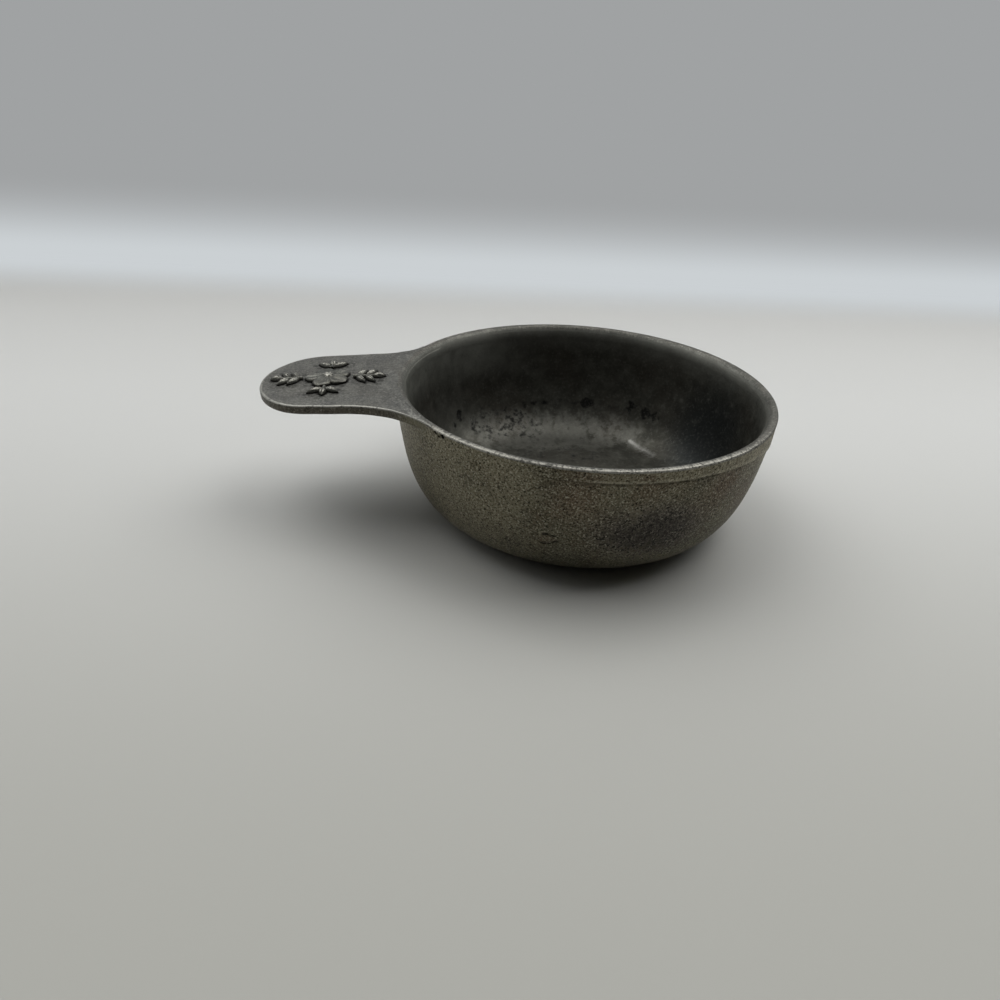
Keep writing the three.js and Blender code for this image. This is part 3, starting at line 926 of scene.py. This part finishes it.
def solderBead():
    s = solderShape
    underside = rimTop - tabShape["step"] - tabShape["thickness"]
    wall = rimRadius - rootOverlap
    half = math.asin(s["run"] / 2 / rimRadius)
    hollow = (wall + s["leg"], underside - s["leg"])
    points = chained(
        [Vector((wall - s["inside"], 0, underside - s["leg"]))],
        list(reversed(corner(hollow, s["leg"], 90, 180, s["faceSteps"]))),
        [Vector((wall + s["leg"], 0, underside + s["inside"]))],
        [Vector((wall - s["inside"], 0, underside + s["inside"]))],
    )
    bm = bmesh.new()
    verts = [bm.verts.new(p) for p in points]
    edges = [bm.edges.new((a, b)) for a, b in zip(verts, verts[1:] + verts[:1])]
    bmesh.ops.rotate(bm, verts=verts, cent=(0, 0, 0), matrix=Matrix.Rotation(math.pi - half, 3, "Z"))
    bmesh.ops.spin(
        bm, geom=verts + edges, axis=(0, 0, 1), cent=(0, 0, 0),
        angle=2 * half, steps=s["segments"],
    )
    bmesh.ops.holes_fill(bm, edges=[e for e in bm.edges if e.is_boundary], sides=0)
    for v in bm.verts:
        turn = abs(turnBetween(azimuthOf(v.co), 180)) / math.degrees(half)
        full = 1 - s["thins"] * smooth(s["thinsFrom"], 1.0, turn)
        full += s["uneven"] * unevenness(v.co, s["unevenGrain"], 31.0)
        radius = math.hypot(v.co.x, v.co.y)
        droop = max(0.0, (radius - rimRadius) * math.tan(math.radians(tabShape["droop"])))
        level = underside + (v.co.z - underside) * full - droop
        v.co = onWall(azimuthOf(v.co), wall + (radius - wall) * full, level)
    bmesh.ops.recalc_face_normals(bm, faces=bm.faces)
    return finishPiece("solder_bead", bm, [solderPewter], "solder", "handle_solder_fillet")


# Relief: low castings of the tab's own grey, rubbed brighter on top with a painted highlight, dark in their
# hollows with oxide and painted shade
reliefLook = dict(
    dark="#50504a", light="#63625c", tint="#524f47", tintShare=0.4, worn="#b3b0a6",
    dirtAndShade="#181714", speckShare=0.3, pitShare=0.3, wornShare=0.55, ragged=1.6,
    patinaGrain=3.0, tintGrain=9.0, grain=0.5, grainDepth=0.05,
    smoothest=0.32, roughest=0.46, rubbed=0.08, metallic=0.9,
)

reliefShape = dict(
    centre=rimRadius + tabShape["reach"] / 2, seat=0.3, sink=0.15,
    rosetteRadius=6.6, petals=5, petalWidth=5.6, petalHeight=1.2,
    petalHollow=0.5, hollowAt=0.58, hollowLong=0.34, hollowWide=0.62,
    veins=(-0.42, 0.0, 0.42), veinWide=0.07, veinHeight=0.14,
    bossRadius=2.0, bossHeight=1.6, bossSink=0.2,
    seeds=7, seedRing=1.1, seedRadius=0.32, seedSink=0.12,
    stemWidth=1.2, stemTaper=2.6, stemHeight=0.7, leafLength=5.2, leafWidth=1.86, leafHeight=1.0,
    leafSplay=56.0, leafRoot=0.9, leafRibs=5,
    midribWide=0.16, midribDepth=0.34, ribDepth=0.12,
    budLength=3.0, budWidth=2.2, budHeight=1.1, budSink=0.8, budRibs=2,
    sprayStart=7.1, longStem=6.1, shortStem=2.5, longPairs=2, shortPairs=1,
    # shares of a form's height past which it is rubbed with a painted highlight, and below which it is dark
    # and then black with oxide and painted shade
    rubbedAndLitAbove=0.45, darkBelow=0.42, blackBelow=0.1,
)


# A closed low form on the tab: a grid shaped by its half width and height, with a skirt to the face
def reliefForm(bm, length, steps, halfWidth, height, matrix):
    made = bmesh.ops.create_grid(bm, x_segments=steps[0], y_segments=steps[1], size=1)["verts"]
    for v in made:
        along, across = (v.co.x + 1) / 2, v.co.y
        local = Vector((along * length, across * max(halfWidth(along), 0.04), height(along, across)))
        v.co = matrix @ local
    border = list({e for v in made for e in v.link_edges if e.is_boundary})
    skirt = bmesh.ops.extrude_edge_only(bm, edges=border)["geom"]
    for v in vertsOf(skirt):
        v.co.z = -reliefShape["sink"]
    bmesh.ops.edgeloop_fill(bm, edges=[e for e in edgesOf(skirt) if e.is_boundary])


def turned(degrees, x=0.0, y=0.0):
    return Matrix.Translation((x, y, 0)) @ Matrix.Rotation(math.radians(degrees), 4, "Z")


def petal(bm, matrix):
    r = reliefShape
    top = r["petalHeight"] + r["seat"]

    def halfWidth(along):
        return r["petalWidth"] / 2 * math.sin(math.pi * along ** 1.35) ** 0.62 if 0 < along < 1 else 0.0

    # a rolled border round a hollow with three veins
    def height(along, across):
        border = (1 - across ** 4) ** 0.6 * math.sin(math.pi * min(max(along, 0.02), 0.98)) ** 0.35
        hollow = bell(across, r["hollowWide"]) * bell(along - r["hollowAt"], r["hollowLong"])
        veins = max(bell(across - offset * along, r["veinWide"]) for offset in r["veins"])
        return top * (border - r["petalHollow"] * hollow + r["veinHeight"] * veins * hollow)

    reliefForm(bm, r["rosetteRadius"], (26, 26), halfWidth, height, matrix)


# A pointed form with a sunk midrib, for leaves and buds
def blade(bm, length, width, top, ribs, matrix):
    r = reliefShape

    def halfWidth(along):
        return width / 2 * math.sin(math.pi * min(max(along, 0.0), 1.0) ** 0.85) ** 0.85

    def height(along, across):
        body = (1 - across ** 2) ** 0.5 * math.sin(math.pi * min(max(along, 0.03), 0.97)) ** 0.4
        rib = bell(across, r["midribWide"])
        sideRibs = 0.5 + 0.5 * math.cos(math.tau * (ribs * along - 1.4 * abs(across)))
        return top * body * (1 - r["midribDepth"] * rib - r["ribDepth"] * sideRibs * (1 - rib))

    reliefForm(bm, length, (24, 16), halfWidth, height, matrix)


# Rubbed tops with a painted highlight and dark feet with painted shade, by height over the tab's face
def finishRelief(name, bm, top, nodeName):
    bmesh.ops.recalc_face_normals(bm, faces=bm.faces)
    reliefFeet.extend(Vector((v.co.x, v.co.y, 0)) for v in bm.verts if v.co.z < 0)
    r = reliefShape
    layers = floatLayers(bm, "wearAndHighlight", "dirtAndShade")
    for v in bm.verts:
        v[layers["wearAndHighlight"]] = smooth(r["rubbedAndLitAbove"] * top, top, v.co.z)
        v[layers["dirtAndShade"]] = smooth(r["darkBelow"] * top, r["blackBelow"] * top, v.co.z)
    bmesh.ops.transform(bm, matrix=tabMatrix(), verts=bm.verts)
    return finishPiece(name, bm, [reliefPewter], "relief_pewter", nodeName)


def rosette():
    r = reliefShape
    bm = bmesh.new()
    for i in range(r["petals"]):
        petal(bm, turned(360 * i / r["petals"], r["centre"]))
    bossTop = r["bossHeight"] + r["seat"]
    dome = bossTop - r["bossSink"]
    boss = bmesh.ops.create_uvsphere(bm, u_segments=32, v_segments=16, radius=1)["verts"]
    bmesh.ops.scale(bm, verts=boss, vec=(r["bossRadius"], r["bossRadius"], dome))
    bmesh.ops.translate(bm, verts=boss, vec=(r["centre"], 0, 0))
    # a ring of seeds and one more in its middle
    for i in range(r["seeds"]):
        turn = math.tau * i / (r["seeds"] - 1)
        away = r["seedRing"] if i < r["seeds"] - 1 else 0.0
        level = dome * math.sqrt(1 - (away / r["bossRadius"]) ** 2) - r["seedSink"]
        seed = bmesh.ops.create_uvsphere(bm, u_segments=12, v_segments=8, radius=r["seedRadius"])["verts"]
        place = Vector((r["centre"] + away * math.cos(turn), away * math.sin(turn), level))
        bmesh.ops.translate(bm, verts=seed, vec=place)
    return finishRelief("rosette", bm, bossTop, "ornament_rosette")


def spray(name, stemLength, pairs, degrees, nodeName):
    r = reliefShape
    seat = r["seat"]
    place = turned(0, r["centre"]) @ turned(degrees) @ turned(0, r["sprayStart"])
    bm = bmesh.new()
    stem = bmesh.ops.create_cone(
        bm, cap_ends=True, segments=16, depth=stemLength,
        radius1=r["stemWidth"] / 2, radius2=r["stemWidth"] / r["stemTaper"],
    )["verts"]
    lay = Matrix.Translation((stemLength / 2, 0, 0)) @ Matrix.Rotation(math.pi / 2, 4, "Y")
    flatten = Matrix.Diagonal((1, 1, (r["stemHeight"] + seat) / (r["stemWidth"] / 2), 1))
    bmesh.ops.transform(bm, matrix=place @ flatten @ lay, verts=stem)
    pitch = (stemLength - r["leafRoot"]) / pairs
    for i in range(pairs):
        for side in (-1, 1):
            root = place @ turned(side * r["leafSplay"], r["leafRoot"] + pitch * i)
            blade(bm, r["leafLength"], r["leafWidth"], r["leafHeight"] + seat, r["leafRibs"], root)
    bud = place @ turned(0, stemLength - r["budSink"])
    budTop = r["budHeight"] + seat
    blade(bm, r["budLength"] + r["budSink"], r["budWidth"], budTop, r["budRibs"], bud)
    return finishRelief(name, bm, budTop, nodeName)


# Stage: a pale table, painted darker near the camera and paler far off as painted light, that runs up into
# a grey wall behind
stageLook = dict(
    tableNear="#adaca5", tableFar="#d5d5d2", wallFoot="#cbd0d3", wallTop="#a0a2a3",
    roughness=0.6, shine=0.2,
)

# The spans, in metres along the table and up the wall, are where one tone fades into the next
stageShape = dict(
    half=900.0, wallAway=290.0, cove=40.0, wallHigh=220.0,
    tableSpan=(-0.16, 0.09), footSpan=(0.19, 0.26), wallSpan=(0.275, 0.335),
)


# 1 for what the camera sees, straight or by way of metal or glass, and 0 for light that falls on the object
def seenRays(tree):
    ray = addNode(tree, "LightPath", {}, {}).outputs
    mirrored = compute(tree, "MAXIMUM", ray["Is Glossy Ray"], ray["Is Transmission Ray"])
    return compute(tree, "MAXIMUM", ray["Is Camera Ray"], mirrored)


def stageMaterial():
    material = emptyMaterial("sealedTable")
    tree = material.node_tree
    place = addNode(tree, "TexCoord", {}, {}).outputs["Object"]
    split = addNode(tree, "SeparateXYZ", {}, {0: place}).outputs
    along = compute(tree, "ADD", split["Y"], split["Z"])

    def fade(span):
        return addNode(tree, "MapRange", {"interpolation_type": "SMOOTHSTEP"}, {
            "Value": along, "From Min": stageShape[span][0], "From Max": stageShape[span][1],
        }).outputs["Result"]

    def tone(span, first, second):
        return addNode(tree, "Mix", {"data_type": "RGBA"}, {
            0: fade(span), 6: linear(stageLook[first]), 7: linear(stageLook[second]),
        }).outputs[2]

    table = addNode(tree, "BsdfPrincipled", {}, {
        "Base Color": tone("tableSpan", "tableNear", "tableFar"),
        "Roughness": stageLook["roughness"], "Specular IOR Level": stageLook["shine"],
    }).outputs[0]
    # the wall shows its own pale tone to the camera and in the metal, whatever the lamps do
    share = compute(tree, "MULTIPLY", seenRays(tree), fade("footSpan"))
    glow = addNode(tree, "Emission", {}, {
        "Color": tone("wallSpan", "wallFoot", "wallTop"), "Strength": 1.0,
    }).outputs[0]
    mixed = addNode(tree, "MixShader", {}, {0: share, 1: table, 2: glow}).outputs[0]
    addNode(tree, "OutputMaterial", {}, {"Surface": mixed})
    return material


def makeStage():
    s = stageShape
    bm = bmesh.new()
    profile = chained(
        straight((-s["half"], 0), (s["wallAway"] - s["cove"], 0), 2),
        corner((s["wallAway"] - s["cove"], s["cove"]), s["cove"], -90, 0, 16),
        straight((s["wallAway"], s["cove"]), (s["wallAway"], s["wallHigh"]), 2),
    )
    verts = [bm.verts.new((-s["half"], p.x, p.z)) for p in profile]
    edges = [bm.edges.new(pair) for pair in zip(verts, verts[1:])]
    made = bmesh.ops.extrude_edge_only(bm, edges=edges)["geom"]
    bmesh.ops.translate(bm, verts=vertsOf(made), vec=(2 * s["half"], 0, 0))
    bmesh.ops.recalc_face_normals(bm, faces=bm.faces)
    bmesh.ops.scale(bm, vec=(mm, mm, mm), verts=bm.verts)
    mesh = bpy.data.meshes.new("table_and_wall")
    bm.to_mesh(mesh)
    bm.free()
    mesh.shade_smooth()
    mesh.materials.append(stageMaterial())
    stage = placeObject("table_and_wall", mesh)


# Two wide panels light the bowl from the left and the right, a little behind it. The room glows behind it,
# and is dark low down on the camera's side, where the camera and the metal still see it pale.
lights = dict(
    worldColour="#eef1f3", brightSide=(-0.19, 0.93, 0.32), brightLevel=1.5, paleLevel=0.25,
    turnsDark=-0.06,
    panels=dict(
        left_panel=dict(at=Vector((-380.0, 205.0, 798.0)), size=740.0, power=3.05),
        right_panel=dict(at=Vector((450.0, 185.0, 766.0)), size=710.0, power=3.85),
    ),
)


def makeLights():
    world = bpy.data.worlds.new("studio")
    bpy.context.scene.world = world
    world.use_nodes = True
    tree = world.node_tree
    tree.nodes.clear()
    outlook = addNode(tree, "TexCoord", {}, {}).outputs["Generated"]
    towards = addNode(tree, "VectorMath", {"operation": "DOT_PRODUCT"}, {
        0: outlook, 1: lights["brightSide"],
    })
    least = compute(tree, "MULTIPLY", seenRays(tree), lights["paleLevel"])
    level = addNode(tree, "MapRange", {}, {
        "Value": towards.outputs["Value"], "From Min": lights["turnsDark"], "From Max": 1.0,
        "To Min": least, "To Max": lights["brightLevel"],
    }).outputs["Result"]
    shade = addNode(tree, "Background", {}, {
        "Color": linear(lights["worldColour"]), "Strength": level,
    })
    addNode(tree, "OutputWorld", {}, {"Surface": shade.outputs[0]})
    for name, look in lights["panels"].items():
        panel = bpy.data.lights.new(name, "AREA")
        panel.size = look["size"] * mm
        panel.energy = look["power"]
        lamp = placeObject(name, panel)
        lamp.location = look["at"] * mm
        lamp.rotation_mode = "QUATERNION"
        lamp.rotation_quaternion = (-look["at"]).to_track_quat("-Z", "Y")


view = dict(
    at=Vector((-37.26, -202.78, 117.54)), yaw=4.259, pitch=30.489, roll=3.454,
    lens=27.168, sensor=36.0, nearest=5.0,
)


def makeCamera():
    data = bpy.data.cameras.new("photo_view")
    data.lens = view["lens"]
    data.sensor_width = view["sensor"]
    data.clip_start = view["nearest"] * mm
    camera = placeObject("photo_view", data)
    turn = Matrix.Rotation(-math.radians(view["yaw"]), 4, "Z")
    tilt = Matrix.Rotation(math.radians(90 - view["pitch"]), 4, "X")
    roll = Matrix.Rotation(math.radians(view["roll"]), 4, "Z")
    camera.matrix_world = Matrix.Translation(view["at"] * mm) @ turn @ tilt @ roll
    bpy.context.scene.camera = camera


print("building the baby bowl")
bpy.context.scene.view_settings.view_transform = "Standard"
outsidePewter = pewter("asCastPewter", outsideLook)
insidePewter = pewter("scouredPewter", insideLook)
rimPewter = pewter("turnedPewter", rimLook)
tabPewter = pewter("handledPewter", tabLook)
solderPewter = pewter("solderedPewter", solderLook)
reliefPewter = pewter("rubbedPewter", reliefLook)

bowlBody()
rimBand()
reliefFeet = []
rosette()
longSpray = (reliefShape["longStem"], reliefShape["longPairs"])
shortSpray = (reliefShape["shortStem"], reliefShape["shortPairs"])
spray("tip_spray", *longSpray, 0, "ornament_tip_spray")
spray("root_spray", *longSpray, 180, "ornament_root_spray")
spray("side_spray_left", *shortSpray, 90, "ornament_side_spray_left")
spray("side_spray_right", *shortSpray, -90, "ornament_side_spray_right")
handleTab()
solderBead()
makeStage()
makeLights()
makeCamera()
